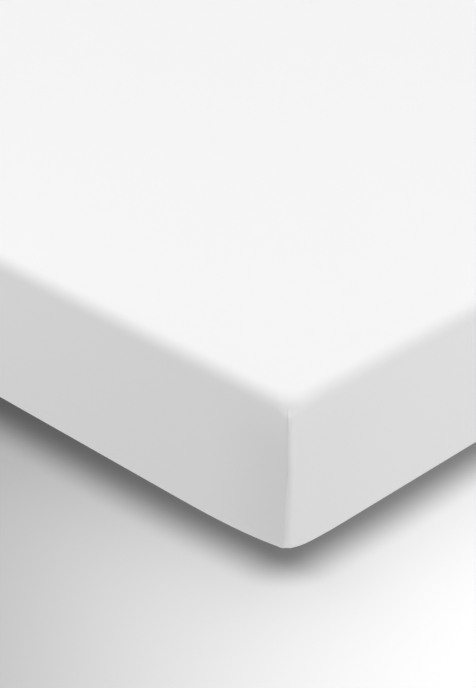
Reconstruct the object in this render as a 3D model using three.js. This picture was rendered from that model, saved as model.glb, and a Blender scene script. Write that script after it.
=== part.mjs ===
// A king-size fitted sheet pulled tight over the mattress that it fits.
// Millimetres, +Z up. X runs across the bed, Y along it with the foot end at -Y, and the
// origin is on the floor under the middle of the mattress.
import * as THREE from 'three';

// Mattress
const mattressWidth = 1500;
const mattressLength = 2000;
const mattressDepth = 250;

// Cloth
const clothThickness = 1.6;
const flatGap = 0.4; // cloth to mattress on the flat top and underside
const edgeGap = 2; // cloth to mattress on the sides and round every edge
const hemTuck = 95; // how far the elasticated hem lies in under the mattress

// Edges of the covered mattress, measured on the outer face of the cloth
const topRoll = 21; // radius of the top edge
const bottomRoll = 24; // radius of the bottom edge along the sides
const crownReach = 160; // width of the band where the top falls away to its edge
const crownDrop = 3;
const sideBulge = 3; // how far the middle of each side stands out past its edges
const sideLean = 3.6; // degrees that the bulged side leans over where it meets a roll
const cornerRadius = { top: 7, bottom: 11 }; // upright corners, seen from above

// The elastic rounds the bottom edge off near each corner: there the roll grows by this much,
// and the growth dies away along the long side and along the end
const cornerLift = 17;
const liftReach = { long: 190, end: 70 };

const outer = {
  halfWidth: mattressWidth / 2 + edgeGap + clothThickness,
  halfLength: mattressLength / 2 + edgeGap + clothThickness,
  height: mattressDepth + flatGap + clothThickness,
};

// Places round one quarter of the outline, from the middle of a long side (at 0 of 'long'),
// round the corner (0 to 1 of 'corner') to the middle of the end (at 0 of 'end').
// raise lifts the cloth: the seam is a shallow groove, and its allowance, pressed towards the
// end, shows as a low ridge beside it.
const clothPlaces = [
  ...[0, 0.35, 0.65, 0.82, 0.9, 0.95, 0.98].map((at) => ({ part: 'long', at, raise: 0 })),
  { part: 'corner', at: 0, raise: 0 },
  { part: 'corner', at: 0.12, raise: 0 },
  { part: 'corner', at: 0.2, raise: -0.4 },
  { part: 'corner', at: 0.28, raise: 0.7 },
  { part: 'corner', at: 0.5, raise: 0.7 },
  { part: 'corner', at: 0.75, raise: 0.7 },
  { part: 'corner', at: 1, raise: 0.7 },
  { part: 'end', at: 0.995, raise: 0.6 },
  { part: 'end', at: 0.99, raise: 0 },
  ...[0.97, 0.93, 0.86, 0.7, 0.4, 0].map((at) => ({ part: 'end', at, raise: 0 })),
];
const mattressPlaces = clothPlaces.filter(
  (place) => place.part !== 'corner' || [0, 0.28, 0.5, 0.75, 1].includes(place.at),
);

// Rings of the covered mattress, from the flat of the top to the tucked hem. lean is the angle
// of the face above the horizontal, corner the reach of the ring's rounded corner, seam the
// strength of the seam's relief, and drift moves the seam round the corner as a share of it.
const crownRings = [
  { inset: crownReach, corner: 120 },
  { inset: 115, corner: 86 },
  { inset: 75, corner: 56 },
  { inset: 42, corner: 34 },
];
const topRollRings = [
  { lean: 86, corner: 20, seam: 0, drift: 0 },
  { lean: 69, corner: 16, seam: 0, drift: 0 },
  { lean: 52, corner: 12, seam: 0, drift: 0 },
  { lean: 36, corner: 10, seam: 0.4, drift: 0 },
  { lean: 19, corner: 8, seam: 1, drift: 0.01 },
];
const sideRings = [
  { down: 0, seam: 1, drift: 0.03 },
  { down: 0.25, seam: 1, drift: 0.12 },
  { down: 0.5, seam: 0.7, drift: 0.1 },
  { down: 0.75, seam: 0.4, drift: 0.05 },
  { down: 1, seam: 0.3, drift: 0.03 },
];
const bottomRollRings = [
  { lean: -19, corner: 12, seam: 0.3, drift: 0.03 },
  { lean: -36, corner: 16, seam: 0.2, drift: 0.03 },
  { lean: -54, corner: 23, seam: 0.1, drift: 0.02 },
  { lean: -72, corner: 34, seam: 0, drift: 0 },
  { lean: -90, corner: 50, seam: 0, drift: 0 },
];
const tuckRings = [
  { across: 0.5, corner: 90 },
  { across: 1, corner: 130 },
];

const radians = THREE.MathUtils.degToRad;

// Radius of the bottom roll at a place, grown near the corners.
function rollAt(place) {
  if (place.part === 'corner') return bottomRoll + cornerLift;
  const half = place.part === 'long' ? outer.halfLength : outer.halfWidth;
  const away = (1 - place.at) * (half - cornerRadius.bottom);
  return bottomRoll + cornerLift * Math.max(0, 1 - away / liftReach[place.part]) ** 2;
}

// Each level gives, at a place, how far in from the outline and how high the cloth's outer
// face lies, and which way it faces there.
function clothLevels() {
  const rollSide = Math.cos(radians(sideLean));
  const rollTop = Math.sin(radians(sideLean));
  const crown = crownRings.map(({ inset, corner }) => {
    const run = (crownReach - inset) / (crownReach - topRoll);
    const lean = 90 - THREE.MathUtils.radToDeg(2 * crownDrop / (crownReach - topRoll)) * run;
    const height = outer.height - crownDrop * run ** 2;
    return { corner, seam: 0, drift: 0, at: () => ({ inset, height, lean }) };
  });
  const topEdge = topRollRings.map(({ lean, ...ring }) => ({
    ...ring,
    at: () => ({
      inset: sideBulge + topRoll * (rollSide - Math.cos(radians(lean))),
      height: outer.height - crownDrop - topRoll * (1 - Math.sin(radians(lean))),
      lean,
    }),
  }));
  const side = sideRings.map(({ down, ...ring }) => ({
    ...ring,
    corner: THREE.MathUtils.lerp(cornerRadius.top, cornerRadius.bottom, down),
    at: (place) => {
      const high = outer.height - crownDrop - topRoll * (1 - rollTop);
      const low = rollAt(place) * (1 - rollTop);
      return {
        inset: sideBulge * (2 * down - 1) ** 2,
        height: THREE.MathUtils.lerp(high, low, down),
        lean: sideLean * (1 - 2 * down),
      };
    },
  }));
  const bottomEdge = bottomRollRings.map(({ lean, ...ring }) => ({
    ...ring,
    at: (place) => ({
      inset: sideBulge + rollAt(place) * (rollSide - Math.cos(radians(lean))),
      height: rollAt(place) * (1 + Math.sin(radians(lean))),
      lean,
    }),
  }));
  const tuck = tuckRings.map(({ across, corner }) => ({
    corner,
    seam: 0,
    drift: 0,
    at: (place) => {
      const rollEnd = sideBulge + rollAt(place) * rollSide;
      return { inset: THREE.MathUtils.lerp(rollEnd, hemTuck, across), height: 0, lean: -90 };
    },
  }));
  return [...crown, ...topEdge, ...side, ...bottomEdge, ...tuck];
}

// The point of a level at a place in the +X +Y quarter, set below the cloth's face by depth.
function pointAt(level, place, depth, relief) {
  const { inset, height, lean } = level.at(place);
  const into = inset + depth * Math.cos(radians(lean));
  const corner = Math.max(4, level.corner - depth * Math.cos(radians(lean)));
  const z = height - depth * Math.sin(radians(lean));
  const toArcX = outer.halfWidth - into - corner;
  const toArcY = outer.halfLength - into - corner;
  if (place.part === 'long') return [toArcX + corner, place.at * toArcY, z];
  const reach = corner + relief * level.seam * place.raise;
  if (place.part === 'end') return [place.at * toArcX, toArcY + reach, z];
  const turn = (place.at + level.drift * Math.sin(Math.PI * place.at)) * Math.PI / 2;
  return [toArcX + reach * Math.cos(turn), toArcY + reach * Math.sin(turn), z];
}

// One closed loop of points, anticlockwise from above: each quarter is a mirror image of the
// one before it, so every second one runs backwards.
function ring(level, places, depth, relief = 0) {
  const forward = places.slice(0, -1);
  const backward = places.slice(1).reverse();
  const quarters = [
    { x: 1, y: 1, run: forward },
    { x: -1, y: 1, run: backward },
    { x: -1, y: -1, run: forward },
    { x: 1, y: -1, run: backward },
  ];
  return quarters.flatMap(({ x, y, run }) => run.map((place) => {
    const point = pointAt(level, place, depth, relief);
    return new THREE.Vector3(x * point[0], y * point[1], point[2]);
  }));
}

// A closed skin through a stack of rings, closed by a flat fan at its first and last ring.
function closedSkin(rings) {
  const count = rings[0].length;
  const last = rings[rings.length - 1];
  const points = [
    ...rings.flat(),
    new THREE.Vector3(0, 0, rings[0][0].z),
    new THREE.Vector3(0, 0, last[0].z),
  ];
  const start = points.length - 2;
  const end = points.length - 1;
  const faces = [];
  for (let i = 0; i < count; i += 1) {
    const next = (i + 1) % count;
    faces.push(start, i, next);
    for (let row = 0; row < rings.length - 1; row += 1) {
      const above = row * count;
      const below = above + count;
      faces.push(above + i, below + i, below + next, above + i, below + next, above + next);
    }
    const lastRow = (rings.length - 1) * count;
    faces.push(end, lastRow + next, lastRow + i);
  }
  const geometry = new THREE.BufferGeometry().setFromPoints(points);
  geometry.setIndex(faces);
  geometry.computeVertexNormals();
  return geometry;
}

function fittedSheetGeometry() {
  const levels = clothLevels();
  const outside = levels.map((level) => ring(level, clothPlaces, 0, 1));
  const inside = levels.map((level) => ring(level, clothPlaces, clothThickness));
  return closedSkin([...outside, ...inside.reverse()]);
}

// The mattress fills the sheet, and its underside comes down to the floor inside the hem.
function mattressGeometry() {
  const rings = clothLevels().map((level) => {
    const { lean } = level.at(mattressPlaces[0]);
    const turned = Math.min(1, 2 * Math.cos(radians(lean)));
    const depth = clothThickness + THREE.MathUtils.lerp(flatGap, edgeGap, turned);
    return ring(level, mattressPlaces, depth);
  });
  const hem = tuckRings[tuckRings.length - 1];
  const pastHem = [
    { inset: hemTuck + edgeGap, height: clothThickness + flatGap },
    { inset: hemTuck + 3 * edgeGap, height: 0 },
  ].map(({ inset, height }) => ring(
    { corner: hem.corner, seam: 0, drift: 0, at: () => ({ inset, height, lean: -90 }) },
    mattressPlaces,
    0,
  ));
  return closedSkin([...rings, ...pastHem]);
}

function piece(name, geometry, color, roughness) {
  const material = new THREE.MeshStandardMaterial({ color, roughness, metalness: 0 });
  const mesh = new THREE.Mesh(geometry, material);
  mesh.name = name;
  return mesh;
}

const group = new THREE.Group();
group.add(piece('mattress', mattressGeometry(), 0xe4e1da, 0.9));
group.add(piece('fitted_sheet', fittedSheetGeometry(), 0xf2f2f1, 0.85));

export default group;
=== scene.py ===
import math

import bmesh
import bpy
from mathutils import Matrix, Vector, noise


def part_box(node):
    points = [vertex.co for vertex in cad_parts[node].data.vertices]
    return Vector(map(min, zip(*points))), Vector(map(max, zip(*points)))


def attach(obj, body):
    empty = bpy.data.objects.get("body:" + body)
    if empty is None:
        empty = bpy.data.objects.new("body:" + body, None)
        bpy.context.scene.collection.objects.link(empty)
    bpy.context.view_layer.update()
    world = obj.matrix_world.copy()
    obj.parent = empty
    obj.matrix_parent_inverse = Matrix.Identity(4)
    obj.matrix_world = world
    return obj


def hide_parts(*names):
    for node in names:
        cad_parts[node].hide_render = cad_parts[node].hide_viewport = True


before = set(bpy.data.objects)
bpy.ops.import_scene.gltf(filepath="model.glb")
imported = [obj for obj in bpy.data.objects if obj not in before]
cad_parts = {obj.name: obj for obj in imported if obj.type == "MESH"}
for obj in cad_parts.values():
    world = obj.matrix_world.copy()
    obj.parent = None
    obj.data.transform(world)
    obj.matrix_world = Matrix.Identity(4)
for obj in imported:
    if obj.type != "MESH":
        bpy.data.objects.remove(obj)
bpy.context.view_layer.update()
print("frame: loaded the covered mattress")


# ---- shader values that add up like numbers

def plug(tree, item, target):
    if isinstance(item, Signal):
        tree.links.new(item.socket, target)
    else:
        target.default_value = item


class Signal:  # one value in a material, so its sums read as Python sums
    def __init__(self, tree, socket):
        self.tree = tree
        self.socket = socket

    def maths(self, operation, *items):
        node = self.tree.nodes.new("ShaderNodeMath")
        node.operation = operation
        for item, target in zip(items, node.inputs):
            plug(self.tree, item, target)
        return Signal(self.tree, node.outputs[0])

    def __add__(self, other):
        return self.maths("ADD", self, other)

    def __radd__(self, other):
        return self.maths("ADD", other, self)

    def __sub__(self, other):
        return self.maths("SUBTRACT", self, other)

    def __rsub__(self, other):
        return self.maths("SUBTRACT", other, self)

    def __mul__(self, other):
        return self.maths("MULTIPLY", self, other)

    def __rmul__(self, other):
        return self.maths("MULTIPLY", other, self)

    def __truediv__(self, other):
        return self.maths("DIVIDE", self, other)

    def sine(self):
        return self.maths("SINE", self)

    def size(self):
        return self.maths("ABSOLUTE", self)

    def positive(self):
        return self.maths("MAXIMUM", self, 0.0)

    def below(self):  # 1 where negative
        return self.maths("LESS_THAN", self, 0.0)

    def root(self):
        return self.maths("SQRT", self)

    def smooth(self, low, high):  # 0 at low to 1 at high, easing in and out
        share = ((self - low) / (high - low)).positive()
        share = share.maths("MINIMUM", share, 1.0)
        return share * share * (3 - 2 * share)

    def within(self, middle, reach):  # 1 at the middle, fading to 0 at the reach either side
        return (1 - (self - middle).size() / reach).positive()


class Finish:  # a material, whose nodes all come from add
    def __init__(self, name):
        self.material = bpy.data.materials.new(name)
        self.material.use_nodes = True
        self.tree = self.material.node_tree
        self.surface = self.tree.nodes["Principled BSDF"]

    def add(self, kind, settings=None, sockets=None, out=0):
        node = self.tree.nodes.new(kind)
        for name, value in (settings or {}).items():
            setattr(node, name, value)
        for name, item in (sockets or {}).items():
            plug(self.tree, item, node.inputs[name])
        return Signal(self.tree, node.outputs[out])

    def split(self, vector):
        node = self.tree.nodes.new("ShaderNodeSeparateXYZ")
        plug(self.tree, vector, node.inputs[0])
        return [Signal(self.tree, socket) for socket in node.outputs]

    def join(self, x, y, z=0.0):
        return self.add("ShaderNodeCombineXYZ", sockets={"X": x, "Y": y, "Z": z})

    def noise(self, vector, scale, detail=2.0):
        sockets = {"Vector": vector, "Scale": scale, "Detail": detail}
        return self.add("ShaderNodeTexNoise", None, sockets)

    def blend(self, amount, first, second):
        settings = {"data_type": "RGBA"}
        return self.add("ShaderNodeMix", settings, {0: amount, 6: first, 7: second}, out=2)

    def bump(self, height):  # height in metres
        return self.add("ShaderNodeBump", None, {"Height": height, "Distance": 1.0})

    def set(self, sockets):
        for name, item in sockets.items():
            plug(self.tree, item, self.surface.inputs[name])


# ---- the cloth's outer face round the mattress

# Lengths are in metres. A pair is a window: the shares of a zone where something starts and ends.
cover = {
    "topRoll": 0.021,       # radius of the top edge
    "topLean": 88.0,        # degrees, where the top edge starts to turn
    "bottomRoll": 0.024,    # radius of the bottom edge along the long sides
    "bottomRollEnd": 0.0256,
    "flatFrom": 0.70,       # inset of the flat top's first ring
    "flatLeast": 0.010,     # least straight part of such a ring
    "crownReach": 0.160,    # band where the top falls away to its edge
    "crownDrop": 0.003,
    "sideBulge": 0.003,
    "sideLean": 3.6,        # degrees
    "crownCorner": 0.120,   # radius of the upright corners where the top is flat
    "cornerTop": 0.024,     # round the top edge
    "cornerFall": 0.017,    # at its foot, where the seam begins
    "cornerMiddle": 0.004,  # along the seam
    "cornerBottom": 0.0075,
    "cornerUnder": 0.044,   # where the bottom edge has turned under
    "cornerHem": 0.130,
    "cornerLeast": 0.004,   # of the mattress inside, too
    "fallWindow": (0.78, 1.02),      # of the top edge, from cornerTop to cornerFall
    "sharpenWindow": (-0.03, 0.11),  # of the side, from cornerFall to cornerMiddle
    "widenWindow": (0.25, 0.75),     # of the side, from cornerMiddle to cornerBottom
    "underPower": 3.2,      # how late the corner widens as the bottom edge turns under
    "cornerLift": 0.0256,   # how much rounder the elastic makes the bottom edge at a corner
    "liftPower": 3,
    "liftArc": 1.45,        # the corner's reach in that, in corner radii
    "liftLong": 0.223,      # how far it reaches along the long side
    "liftEnd": 0.113,       # and along the end
    "liftEase": 0.005,      # how softly it turns at the corner's middle
    "swellLong": 0.001,     # how far the seam's layers push each side out beside a corner
    "swellEnd": 0.005,
    "swellReach": 0.065,
    "swellTop": 0.1,        # share of the swell at the foot of the top edge
    "swellStart": (0.3, 1.0),
    "swellWindow": (0.0, 0.6),
    "swellFade": (0.0, 0.95),
    "hemTuck": 0.095,
    "seamBack": 0.0034,     # from the corner's middle back to the seam
    "seamDrift": 0.0030,    # how much further back the seam wanders, lower down
    "seamStart": (0.88, 1.0),
    "driftWindow": (0.42, 0.66),
    "faintWindow": (0.35, 0.85),
    "seamFaint": 0.2,       # how strongly the seam still shows, low down
    "seamEnd": (0.2, 0.8),
    "grooveDepth": 0.0007,
    "grooveWidth": 0.0007,
    "nubHeight": 0.0016,    # small pucker where the seam begins
    "nubAside": 0.0014,
    "nubBelow": 0.0020,
    "nubWidth": 0.0020,
    "nubLength": 0.0034,
    "ridgeHeight": 0.0009,  # the allowance, pressed to one side of the seam
    "ridgeWidth": 0.0115,
    "ridgeRise": (0.0002, 0.0016),   # metres past the seam
    "ridgeFall": 0.0025,
    "thickness": 0.0008,
}

_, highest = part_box("fitted_sheet")
halfWidth = highest.x
halfLength = highest.y
bedHeight = highest.z


def smoothStep(low, high, value):
    share = min(1.0, max(0.0, (value - low) / (high - low)))
    return share * share * (3 - 2 * share)


def mixed(first, second, share):
    return first + (second - first) * share


outline = {
    "longPlaces": 30,   # places along half a long side
    "endPlaces": 26,
    "cornerSteps": 44,
    "crowding": 1.5,
    "longNear": [0.0030, 0.0018, 0.0009],  # metres before the corner
    "endNear": [0.0038, 0.0030, 0.0022, 0.0014, 0.0007],
}


# Places round a quarter of the outline, as (part, at), from the middle of a long side, round
# the corner, to the middle of the end. They crowd together near the corner and its seam.
def quarterPlaces():
    def side(part, near, length):
        steps = outline[part + "Places"]
        spread = [1 - (1 - i / steps) ** outline["crowding"] for i in range(steps)]
        return [(part, at) for at in spread] + [(part, 1 - gap / length) for gap in near]

    steps = outline["cornerSteps"]
    corner = [("corner", i / steps) for i in range(steps + 1)]
    long = side("long", outline["longNear"], halfLength)
    end = side("end", outline["endNear"], halfWidth)
    return long + corner + end[::-1]


# Radius of the bottom edge at a place.
def rollAt(place):
    part, at = place
    arcHalf = cover["cornerBottom"] * cover["liftArc"]
    if part == "corner":
        away = abs(2 * at - 1) * arcHalf
        reach = cover["liftLong"] if at < 0.5 else cover["liftEnd"]
        plain = mixed(cover["bottomRoll"], cover["bottomRollEnd"], at)
    else:
        half = halfLength if part == "long" else halfWidth
        away = (1 - at) * (half - cover["cornerBottom"]) + arcHalf
        reach = cover["liftLong"] if part == "long" else cover["liftEnd"]
        plain = cover["bottomRoll"] if part == "long" else cover["bottomRollEnd"]
    away = math.hypot(away, cover["liftEase"]) - cover["liftEase"]
    return plain + cover["cornerLift"] * max(0.0, 1 - away / reach) ** cover["liftPower"]


# Inset, height and lean of the cloth at a share of a zone, and the reach of its rounded corner.
def profile(zone, share, place):
    rollSide = math.cos(math.radians(cover["sideLean"]))
    rollTop = math.sin(math.radians(cover["sideLean"]))
    roll = rollAt(place)
    top = bedHeight - cover["crownDrop"]
    if zone == "flat":
        inset = mixed(cover["flatFrom"], cover["crownReach"], share)
        corner = min(cover["crownCorner"], halfWidth - inset - cover["flatLeast"])
        return inset, bedHeight, 90.0, corner
    if zone == "crown":
        band = cover["crownReach"] - cover["topRoll"] - cover["sideBulge"]
        inset = cover["crownReach"] - band * share
        height = bedHeight - cover["crownDrop"] * share ** 2
        slope = 2 * cover["crownDrop"] / band * share
        corner = mixed(cover["crownCorner"], cover["cornerTop"], share)
        return inset, height, 90 - math.degrees(slope), corner
    if zone == "topRoll":
        lean = mixed(cover["topLean"], cover["sideLean"], share)
        turned = math.radians(lean)
        inset = cover["sideBulge"] + cover["topRoll"] * (rollSide - math.cos(turned))
        height = top - cover["topRoll"] * (1 - math.sin(turned))
        drawnIn = smoothStep(*cover["fallWindow"], share)
        return inset, height, lean, mixed(cover["cornerTop"], cover["cornerFall"], drawnIn)
    if zone == "side":
        high = top - cover["topRoll"] * (1 - rollTop)
        low = roll * (1 - rollTop)
        inset = cover["sideBulge"] * (2 * share - 1) ** 2
        lean = cover["sideLean"] * (1 - 2 * share)
        sharpened = smoothStep(*cover["sharpenWindow"], share)
        corner = mixed(cover["cornerFall"], cover["cornerMiddle"], sharpened)
        corner = mixed(corner, cover["cornerBottom"], smoothStep(*cover["widenWindow"], share))
        return inset, mixed(high, low, share), lean, corner
    if zone == "bottomRoll":
        lean = mixed(-cover["sideLean"], -90.0, share)
        turned = math.radians(lean)
        inset = cover["sideBulge"] + roll * (rollSide - math.cos(turned))
        under = (-lean / 90) ** cover["underPower"]
        corner = mixed(cover["cornerBottom"], cover["cornerUnder"], under)
        return inset, roll * (1 + math.sin(turned)), lean, corner
    rollEnd = cover["sideBulge"] + roll * rollSide
    corner = mixed(cover["cornerUnder"], cover["cornerHem"], share)
    return mixed(rollEnd, cover["hemTuck"], share), 0.0, -90.0, corner


# How strongly the seam shows, and how far back from the corner's middle it lies.
def seamAlong(zone, share):
    back = cover["seamBack"]
    if zone in ("flat", "crown", "tuck"):
        return 0.0, back
    if zone == "topRoll":
        return smoothStep(*cover["seamStart"], share), back
    if zone == "side":
        back += cover["seamDrift"] * smoothStep(*cover["driftWindow"], share)
        return mixed(1.0, cover["seamFaint"], smoothStep(*cover["faintWindow"], share)), back
    faint = cover["seamFaint"] * (1 - smoothStep(*cover["seamEnd"], share))
    return faint, back + cover["seamDrift"]


# Distance of a place past the seam, round the corner and on along the end.
def pastSeam(place, back, corner, away):
    part, at = place
    arc = corner * math.pi / 2
    seam = max(0.0, arc / 2 - back)
    if part == "corner":
        return at * arc - seam
    return -seam - away if part == "long" else arc - seam + away


# Height of the seam's relief at a distance past it: a groove, then the pressed allowance.
def seamRelief(past):
    groove = -cover["grooveDepth"] * math.exp(-(past / cover["grooveWidth"]) ** 2)
    rise = smoothStep(*cover["ridgeRise"], past)
    width = cover["ridgeWidth"]
    fall = 1 - smoothStep(width - cover["ridgeFall"], width, past)
    return groove + cover["ridgeHeight"] * rise * fall


# Height of the small pucker where the seam begins, just below the top roll.
def nubRelief(zone, share, past):
    if zone == "topRoll":
        below = (share - 1) * cover["topRoll"] * math.pi / 2
    elif zone == "side":
        below = share * (bedHeight - cover["topRoll"] - cover["bottomRoll"])
    else:
        return 0.0
    cornerShadeMask = (past - cover["nubAside"]) / cover["nubWidth"]
    down = (below - cover["nubBelow"]) / cover["nubLength"]
    return cover["nubHeight"] * math.exp(-cornerShadeMask ** 2 - down ** 2)


# How far the sides swell towards a corner, as a share, in each zone.
def swellIn(zone, share):
    if zone == "topRoll":
        return cover["swellTop"] * smoothStep(*cover["swellStart"], share)
    if zone == "side":
        return mixed(cover["swellTop"], 1.0, smoothStep(*cover["swellWindow"], share))
    return 1 - smoothStep(*cover["swellFade"], share) if zone == "bottomRoll" else 0.0


# The cloth's point at a place, and its distance past the seam.
def quarterPoint(zone, share, place, depth=0.0):
    part, at = place
    inset, height, lean, corner = profile(zone, share, place)
    outward = math.cos(math.radians(lean))
    inset += depth * outward
    height -= depth * math.sin(math.radians(lean))
    corner = max(cover["cornerLeast"], corner - depth * outward)
    arcX = halfWidth - inset - corner
    arcY = halfLength - inset - corner
    away = (1 - at) * (arcY if part == "long" else arcX)
    shows, back = seamAlong(zone, share)
    past = pastSeam(place, back, corner, away)
    relief = shows * seamRelief(past) + nubRelief(zone, share, past)
    swell = swellIn(zone, share)
    near = 1 - smoothStep(0, cover["swellReach"], away)
    if part == "long":
        x = arcX + corner + relief + swell * cover["swellLong"] * near
        return Vector((x, at * arcY, height)), past
    if part == "end":
        y = arcY + corner + relief + swell * cover["swellEnd"] * near
        return Vector((at * arcX, y, height)), past
    turn = at * math.pi / 2
    x = arcX + (corner + relief) * math.cos(turn) + swell * cover["swellLong"]
    y = arcY + (corner + relief) * math.sin(turn) + swell * cover["swellEnd"]
    return Vector((x, y, height)), past


# A point of the same quarter on the underside, past the hem.
def pastHem(inset, place):
    part, at = place
    corner = cover["cornerHem"]
    arcX = halfWidth - inset - corner
    arcY = halfLength - inset - corner
    if part == "long":
        return Vector((arcX + corner, at * arcY, 0.0))
    if part == "end":
        return Vector((at * arcX, arcY + corner, 0.0))
    turn = at * math.pi / 2
    return Vector((arcX + corner * math.cos(turn), arcY + corner * math.sin(turn), 0.0))


# The whole outline as (mirror, place) pairs, anticlockwise from above. A mirror gives the
# quarter's signs along X and Y.
def outlinePlaces():
    quarter = quarterPlaces()
    forward = quarter[:-1]
    backward = quarter[:0:-1]
    runs = [((1, 1), forward), ((-1, 1), backward), ((-1, -1), forward), ((1, -1), backward)]
    return [(mirror, place) for mirror, run in runs for place in run]


# Distance down the cloth from the edge line of the flat top, negative on the top.
def fallTable(zones, place):
    falls = {}
    last = None
    total = 0.0
    for zone, share in zones:
        inset, height, _, _ = profile(zone, share, place)
        if last is None or zone in ("flat", "crown"):
            total = -inset
        else:
            total += math.dist(last, (inset, height))
        falls[zone, share] = total
        last = (inset, height)
    return falls


clothZones = {"flat": 7, "crown": 8, "topRoll": 12, "side": 22, "bottomRoll": 12, "tuck": 8}
sideCrowding = 1.4  # the side's rows crowd together at its top, where the seams begin


# The cloth's rows as (zone, share), from the flat top out and down to the hem.
def zoneRows():
    rows = [("flat", 0.0)]
    for zone, steps in clothZones.items():
        power = sideCrowding if zone == "side" else 1
        rows += [(zone, ((i + 1) / steps) ** power) for i in range(steps)]
    return rows


gathers = {
    "pitch": 0.034,     # from one pucker of the elasticated hem to the next
    "height": 0.0042,
    "scallop": 0.0030,  # how far the hem's edge wanders in and out
    "reach": 0.048,     # how far out from the hem they run
    "unevenRate": 7,    # how quickly they vary along the hem, per metre
    "unevenTurn": 2.4,  # how far that shifts a pucker, in radians
    "strengthRate": 11,
    "longEdge": 0.018,  # edges of the tuck this long are cut up finely, to carry them
    "longCuts": 6,
    "mediumEdge": 0.008,
    "mediumCuts": 2,
}


# Distance round the hem at a point, how far outside the hem it lies, and the way in from there.
def hemRun(x, y):
    reach = cover["cornerHem"]
    arcX = halfWidth - cover["hemTuck"] - reach
    arcY = halfLength - cover["hemTuck"] - reach
    overX = abs(x) - arcX
    overY = abs(y) - arcY
    arc = reach * math.pi / 2
    if overX > 0 and overY > 0:
        angle = math.atan2(overY, overX)
        along = arcY + reach * angle
        outside = math.hypot(overX, overY) - reach
        inward = Vector((-math.copysign(math.cos(angle), x), 0, 0))
        inward.y = -math.copysign(math.sin(angle), y)
    elif overX > 0:
        along = abs(y)
        outside = overX - reach
        inward = Vector((-math.copysign(1, x), 0, 0))
    else:
        along = arcY + arc + arcX - abs(x)
        outside = overY - reach
        inward = Vector((0, -math.copysign(1, y), 0))
    quarter = arcY + arc + arcX
    turns = {(True, True): (0, 1), (False, True): (2, -1)}
    turns.update({(False, False): (2, 1), (True, False): (4, -1)})
    start, way = turns[x >= 0, y >= 0]
    return start * quarter + way * along, outside, inward


# A skin grown ring by ring from the middle of the top. settle places a ring's point, given the
# vertex, its number round the ring and the ring's row.
def loft(mesh, count, rows, settle):
    bmesh.ops.create_circle(mesh, cap_ends=True, cap_tris=True, segments=count, radius=1.0)
    station = mesh.verts.layers.int.new("station")
    mesh.verts.ensure_lookup_table()
    rim = [vert for vert in mesh.verts if vert.is_boundary]
    middle = [vert for vert in mesh.verts if not vert.is_boundary][0]
    for number, vert in enumerate(rim):
        vert[station] = number
        settle(vert, number, rows[0])
    edges = [edge for edge in mesh.edges if edge.is_boundary]
    rings = [edges]
    for row in rows[1:]:
        grown = bmesh.ops.extrude_edge_only(mesh, edges=edges)["geom"]
        for vert in (item for item in grown if isinstance(item, bmesh.types.BMVert)):
            settle(vert, vert[station], row)
        grownEdges = [item for item in grown if isinstance(item, bmesh.types.BMEdge)]
        edges = [edge for edge in grownEdges if edge.is_boundary]
        rings.append(edges)
    return middle, rings


def makeSheet():
    places = outlinePlaces()
    rows = zoneRows()
    falls = {}
    mesh = bmesh.new()
    fallLayer = mesh.verts.layers.float.new("fall")
    pastLayer = mesh.verts.layers.float.new("past")

    def settle(vert, number, row):
        mirror, place = places[number]
        key = place if place[0] != "corner" else ("corner", 0.0)
        if key not in falls:
            falls[key] = fallTable(rows, key)
        point, past = quarterPoint(*row, place)
        vert.co = (mirror[0] * point.x, mirror[1] * point.y, point.z)
        vert[fallLayer] = falls[key][row]
        vert[pastLayer] = past

    middle, rings = loft(mesh, len(places), rows, settle)
    middle.co = (0, 0, bedHeight)
    middle[fallLayer] = -halfWidth
    tuckEdges = [edge for row, ring in zip(rows, rings) if row[0] == "tuck" for edge in ring]
    longEdge, mediumEdge = gathers["longEdge"], gathers["mediumEdge"]
    long = [edge for edge in tuckEdges if edge.calc_length() > longEdge]
    medium = [edge for edge in tuckEdges if mediumEdge < edge.calc_length() <= longEdge]
    for edges, cuts in ((long, gathers["longCuts"]), (medium, gathers["mediumCuts"])):
        bmesh.ops.subdivide_edges(mesh, edges=edges, cuts=cuts, use_grid_fill=True)
    gatherHem(mesh)
    bmesh.ops.recalc_face_normals(mesh, faces=mesh.faces)
    layCut(mesh, fallLayer, pastLayer)
    return finished(mesh, "fittedSheet")


# The elastic draws the tucked hem into small puckers, which die away towards the roll.
def gatherHem(mesh):
    for vert in mesh.verts:
        along, outside, inward = hemRun(vert.co.x, vert.co.y)
        if vert.co.z > 0.001 or outside > gathers["reach"]:
            continue
        share = 1 - smoothStep(0, gathers["reach"], outside)
        uneven = noise.noise(Vector((along * gathers["unevenRate"], 3.1, 0)))
        phase = 2 * math.pi * along / gathers["pitch"] + gathers["unevenTurn"] * uneven
        strength = 0.75 + 0.5 * noise.noise(Vector((along * gathers["strengthRate"], 8.7, 0)))
        pucker = 0.5 + 0.5 * math.sin(phase)
        vert.co.z = gathers["height"] * share * strength * pucker
        vert.co += inward * gathers["scallop"] * share * uneven


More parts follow.
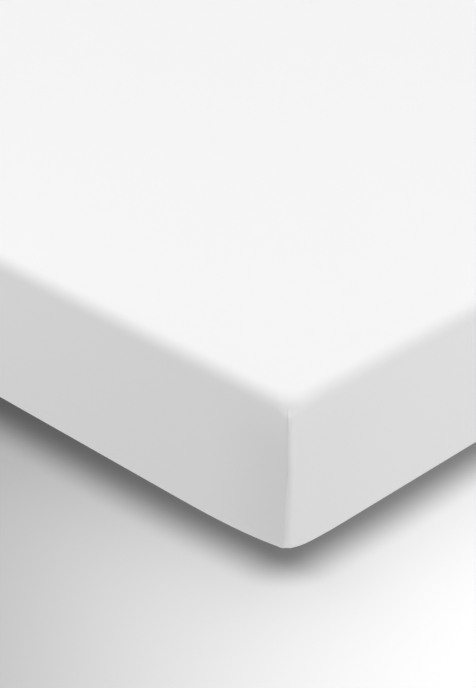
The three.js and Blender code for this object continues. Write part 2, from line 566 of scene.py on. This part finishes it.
# The flat cut of the cloth as a UV map in metres, with threads running straight down each
# skirt. Two more maps give the distance round the hem and up from it, and past the corner seam
# and down it.
def layCut(mesh, fallLayer, pastLayer):
    cut = mesh.loops.layers.uv.new("cut")
    hem = mesh.loops.layers.uv.new("hem")
    seam = mesh.loops.layers.uv.new("seam")
    hemFall = max(vert[fallLayer] for vert in mesh.verts)
    for face in mesh.faces:
        centre = face.calc_center_median()
        past = sum(vert[pastLayer] for vert in face.verts) / len(face.verts)
        for loop in face.loops:
            spot = loop.vert.co
            fall = loop.vert[fallLayer]
            if fall < -cover["topRoll"]:
                loop[cut].uv = (spot.x, spot.y)
            elif past < 0:
                loop[cut].uv = (math.copysign(halfWidth + fall, centre.x), spot.y)
            else:
                loop[cut].uv = (spot.x, math.copysign(halfLength + fall, centre.y))
            loop[hem].uv = (hemRun(spot.x, spot.y)[0], hemFall - fall)
            loop[seam].uv = (loop.vert[pastLayer], fall)


def finished(mesh, name):
    data = bpy.data.meshes.new(name)
    mesh.to_mesh(data)
    mesh.free()
    data.shade_smooth()
    piece = bpy.data.objects.new(name, data)
    bpy.context.scene.collection.objects.link(piece)
    return piece


sheet = makeSheet()
solidify = sheet.modifiers.new("clothThickness", "SOLIDIFY")
solidify.thickness = cover["thickness"]
solidify.offset = -1
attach(sheet, "root")
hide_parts("fitted_sheet")
print("fitted sheet: modelled, vertices", len(sheet.data.vertices))


# ---- the mattress inside it

mattress = {
    "depth": 0.0024,      # below the cloth's outer face
    "hemRecess": 0.0072,  # the underside gives this much where the gathered hem lies
    "recessReach": 0.103,
    "recessEnd": 0.109,
    "panelReach": 0.400,  # inset of the underside's last ring
}


def makeMattress():
    places = outlinePlaces()
    rows = zoneRows() + [("recess", share) for share in (0.0, 0.5, 1.0)]
    rows += [("panel", 0.0), ("panel", 1.0)]
    mesh = bmesh.new()

    def settle(vert, number, row):
        mirror, place = places[number]
        zone, share = row
        if zone == "recess":
            inset = mixed(mattress["recessReach"], mattress["recessEnd"], share)
            point = pastHem(inset, place)
            point.z = mattress["hemRecess"] * (1 - smoothStep(0, 1, share))
        elif zone == "panel":
            point = pastHem(mattress["panelReach"], place) * (1 - share)
        else:
            point = quarterPoint(zone, share, place, mattress["depth"])[0]
            if zone == "tuck":
                point.z = mixed(point.z, mattress["hemRecess"], smoothStep(0, 0.6, share))
        vert.co = (mirror[0] * point.x, mirror[1] * point.y, point.z)

    middle, _ = loft(mesh, len(places), rows, settle)
    middle.co = (0, 0, bedHeight - mattress["depth"])
    bmesh.ops.remove_doubles(mesh, verts=mesh.verts, dist=0.00001)
    bmesh.ops.recalc_face_normals(mesh, faces=mesh.faces)
    return finished(mesh, "mattressBody")


body = makeMattress()
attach(body, "root")
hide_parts("mattress")
print("mattress: modelled")


# ---- finishes

def cottonFinish():
    cotton = {
        "pale": (0.885, 0.885, 0.885, 1),
        "shaded": (0.865, 0.865, 0.865, 1),
        # colour of the hem's real stitches, and of the painted shade line along the corner seam
        "stitchAndSeamShade": (0.82, 0.82, 0.815, 1),
        "cornerShade": (0.815, 0.815, 0.815, 1),  # painted shade, greying the cloth beside a corner seam
        "cornerShadeLong": 0.15,       # how far that reaches along the long side
        "cornerShadeEnd": 0.26,        # and along the end, where it is fainter
        # width of the painted shade line along the corner seam
        "seamShadeLine": 0.0011,
        "threadPitch": 0.00045,
        "weaveDepth": 0.000022,
        "slubDepth": 0.00006,
        "slubAlong": 55,        # slubs per metre along a thread
        "slubAcross": 1300,     # and across it
        "cloudScale": 3.0,
        "stitchRow": 0.0135,    # up from the hem's edge
        "stitchWidth": 0.0007,
        "stitchLength": 0.0032,
    }
    finish = Finish("cottonSheeting")
    across, along, _ = finish.split(finish.add("ShaderNodeUVMap", {"uv_map": "cut"}))
    turns = 2 * math.pi / (2 * cotton["threadPitch"])
    weave = (across * turns).sine() * (along * turns).sine()
    slubAlong, slubAcross = cotton["slubAlong"], cotton["slubAcross"]
    weftSlubs = finish.noise(finish.join(across * slubAlong, along * slubAcross), 1.0)
    warpSlubs = finish.noise(finish.join(across * slubAcross, along * slubAlong), 1.0)
    slubs = weftSlubs + warpSlubs
    run, rise, _ = finish.split(finish.add("ShaderNodeUVMap", {"uv_map": "hem"}))
    row = rise.within(cotton["stitchRow"], cotton["stitchWidth"])
    stitches = row * ((run * (2 * math.pi / cotton["stitchLength"])).sine() + 0.4).positive()
    cloudy = finish.noise(finish.join(across, along), cotton["cloudScale"], 3.0)
    past, down, _ = finish.split(finish.add("ShaderNodeUVMap", {"uv_map": "seam"}))
    skirt = down.smooth(-0.010, 0.070)
    # painted shade: the skirt is greyed beside each corner seam, strongly on the long side and
    # faintly on the end
    cornerShadeOnLong = (past / cotton["cornerShadeLong"] + 1).smooth(0.0, 1.0) * past.below()
    cornerShadeOnEnd = (1 - past / cotton["cornerShadeEnd"]).smooth(0.0, 1.0) * (1 - past.below())
    cornerShadeMask = cornerShadeOnLong + cornerShadeOnEnd * 0.3
    # painted shade: a darker line along the corner seam, standing for the shade in its groove
    seamShadeLine = (past - 0.0001).within(0.0, cotton["seamShadeLine"]) * down.smooth(-0.004, 0.004)
    colour = finish.blend(cloudy * 0.35 + slubs * 0.12, cotton["pale"], cotton["shaded"])
    # painted shade beside the corner seams
    colour = finish.blend(skirt * cornerShadeMask, colour, cotton["cornerShade"])
    colour = finish.blend(seamShadeLine, colour, cotton["stitchAndSeamShade"])
    colour = finish.blend(stitches * 0.6, colour, cotton["stitchAndSeamShade"])
    height = weave * cotton["weaveDepth"] + slubs * cotton["slubDepth"]
    bump = finish.bump(height - row * 0.0003 + stitches * 0.0004)
    finish.set({"Base Color": colour, "Roughness": slubs * 0.06 + 0.78, "Normal": bump})
    finish.set({"Sheen Weight": 0.12, "Sheen Roughness": 0.5, "Specular IOR Level": 0.25})
    return finish.material


def tickingFinish():
    ticking = {
        "pale": (0.80, 0.78, 0.73, 1),
        "deep": (0.70, 0.68, 0.63, 1),
        "ribPitch": 0.0018,
        "stitchPitch": 0.0014,
        "ribDepth": 0.00016,
        "heatherScale": 260.0,
    }
    finish = Finish("mattressTicking")
    x, y, z = finish.split(finish.add("ShaderNodeTexCoord", out=3))
    ribs = ((x + z) * (2 * math.pi / ticking["ribPitch"])).sine()
    loops = ((y + z) * (2 * math.pi / ticking["stitchPitch"]) + ribs.size() * 1.4).sine()
    knit = ribs * 0.6 + loops * 0.4
    heather = finish.noise(finish.join(x, y, z), ticking["heatherScale"], 3.0)
    colour = finish.blend(heather * 0.7 + knit * 0.15, ticking["pale"], ticking["deep"])
    bump = finish.bump(knit * ticking["ribDepth"])
    finish.set({"Base Color": colour, "Roughness": heather * 0.1 + 0.82, "Normal": bump})
    finish.set({"Specular IOR Level": 0.2})
    return finish.material


sheet.data.materials.append(cottonFinish())
body.data.materials.append(tickingFinish())
print("finishes: cotton and ticking")


# ---- studio: floor, light and camera

studio = {
    "floorSize": 14.0,
    "darkSide": 0.44,        # painted shade: the floor's paleness at its darker side
    "brightSide": 0.95,
    "gradientFrom": -0.60,   # metres across the view from the near corner
    "gradientTo": 0.22,
    "shadowDepth": 0.71,     # soft shadow where the cloth meets the floor
    "shadowFrom": -0.016,    # metres out from the bed's outline
    "shadowReach": 0.088,
    "shadowShift": 0.013,    # how much further out it is at the darker side
    "shadowEase": 0.009,     # how much further in it is at the raised corners
    "shadowCorner": 0.036,   # radius of its corners
    "world": 0.60,
    "suns": {
        "keySun": {
            "from": (0.36, 0.46, 1.0), "strength": 0.86, "spread": 60, "shadow": True,
        },
        "softSun": {
            "from": (0.36, 0.46, 1.0), "strength": 0.56, "spread": 60, "shadow": False,
        },
        "footSun": {
            "from": (0.15, -1.0, 0.10), "strength": 0.565, "spread": 60, "shadow": True,
        },
        "sideSun": {
            "from": (-1.0, 0.35, 0.10), "strength": 0.20, "spread": 60, "shadow": True,
        },
        "bounceSun": {
            "from": (0.0, 0.0, -1.0), "strength": 0.26, "spread": 20, "shadow": False,
        },
    },
    "boxes": {
        "sideBox": {
            "at": (-1.40, -0.20, 0.55), "towards": (-0.75, -0.35, 0.13),
            "power": 0.40, "size": 0.5,
        },
        "footBox": {
            "at": (0.05, -1.75, 0.55), "towards": (-0.10, -1.00, 0.13),
            "power": 0.60, "size": 0.6,
        },
    },
}


def floorFinish():
    heading = math.radians(camera["heading"])
    finish = Finish("studioFloor")
    x, y, _ = finish.split(finish.add("ShaderNodeTexCoord", out=3))
    corner = -halfWidth * math.cos(heading) + halfLength * math.sin(heading)
    across = x * math.cos(heading) - y * math.sin(heading) - corner
    # painted light and shade: the floor's colour runs from darker on one side to brighter on the
    # other
    lit = across.smooth(studio["gradientFrom"], studio["gradientTo"])
    pale = lit * (studio["brightSide"] - studio["darkSide"]) + studio["darkSide"]
    overX = (x.size() - (halfWidth - studio["shadowCorner"])).positive()
    overY = (y.size() - (halfLength - studio["shadowCorner"])).positive()
    outside = (overX * overX + overY * overY).root()
    raised = x.size().smooth(halfWidth - cover["liftLong"], halfWidth)
    raised = raised * y.size().smooth(halfLength - cover["liftLong"], halfLength)
    away = outside - studio["shadowCorner"] - (1 - lit) * studio["shadowShift"]
    away = away + raised * studio["shadowEase"]
    clear = away.smooth(studio["shadowFrom"], studio["shadowFrom"] + studio["shadowReach"])
    shade = pale * (clear * studio["shadowDepth"] + (1 - studio["shadowDepth"]))
    colour = finish.blend(shade, (0, 0, 0, 1), (1, 1, 1, 1))
    finish.set({"Base Color": colour, "Roughness": 0.9, "Specular IOR Level": 0.0})
    return finish.material


def hangLamp(lamp, place, back):
    holder = bpy.data.objects.new(lamp.name, lamp)
    turned = back.to_track_quat("Z", "Y").to_matrix().to_4x4()
    holder.matrix_world = Matrix.Translation(place) @ turned
    bpy.context.scene.collection.objects.link(holder)


def makeStudio():
    mesh = bmesh.new()
    bmesh.ops.create_grid(mesh, x_segments=1, y_segments=1, size=studio["floorSize"] / 2)
    floor = finished(mesh, "studioFloor")
    floor.data.materials.append(floorFinish())
    floor.visible_diffuse = False   # the world lights the bed evenly from below as well
    floor.visible_shadow = False
    world = bpy.data.worlds.new("studioWorld")
    world.use_nodes = True
    background = world.node_tree.nodes["Background"]
    background.inputs["Color"].default_value = (1, 1, 1, 1)
    background.inputs["Strength"].default_value = studio["world"]
    bpy.context.scene.world = world
    for name, sun in studio["suns"].items():
        lamp = bpy.data.lights.new(name, "SUN")
        lamp.energy = sun["strength"]
        lamp.angle = math.radians(sun["spread"])
        lamp.use_shadow = sun["shadow"]
        hangLamp(lamp, (0, 0, 3), Vector(sun["from"]))
    for name, box in studio["boxes"].items():
        lamp = bpy.data.lights.new(name, "AREA")
        lamp.energy = box["power"]
        lamp.size = box["size"]
        hangLamp(lamp, box["at"], Vector(box["at"]) - Vector(box["towards"]))
    bpy.context.scene.view_settings.view_transform = "Standard"


camera = {
    "place": (-2.2925, -2.3736, 1.4888),
    "heading": 46.46,   # degrees from +Y towards +X
    "pitch": 29.19,     # below the horizon
    "roll": 1.01,
    "focal": 100.15,    # mm on a 36 mm sensor
}


def makeCamera():
    heading = math.radians(camera["heading"])
    pitch = math.radians(camera["pitch"])
    roll = math.radians(camera["roll"])
    ahead = Vector((math.sin(heading), math.cos(heading), 0))
    level = Vector((math.cos(heading), -math.sin(heading), 0))
    look = ahead * math.cos(pitch) - Vector((0, 0, math.sin(pitch)))
    over = ahead * math.sin(pitch) + Vector((0, 0, math.cos(pitch)))
    right = level * math.cos(roll) + over * math.sin(roll)
    up = over * math.cos(roll) - level * math.sin(roll)
    lens = bpy.data.cameras.new("camera")
    lens.lens = camera["focal"]
    lens.sensor_width = 36.0
    lens.clip_start = 0.05
    lens.clip_end = 60.0
    holder = bpy.data.objects.new("camera", lens)
    turned = Matrix((right, up, -look)).transposed().to_4x4()
    holder.matrix_world = Matrix.Translation(camera["place"]) @ turned
    bpy.context.scene.collection.objects.link(holder)
    bpy.context.scene.camera = holder


makeCamera()
makeStudio()
print("studio: floor, lights and camera")
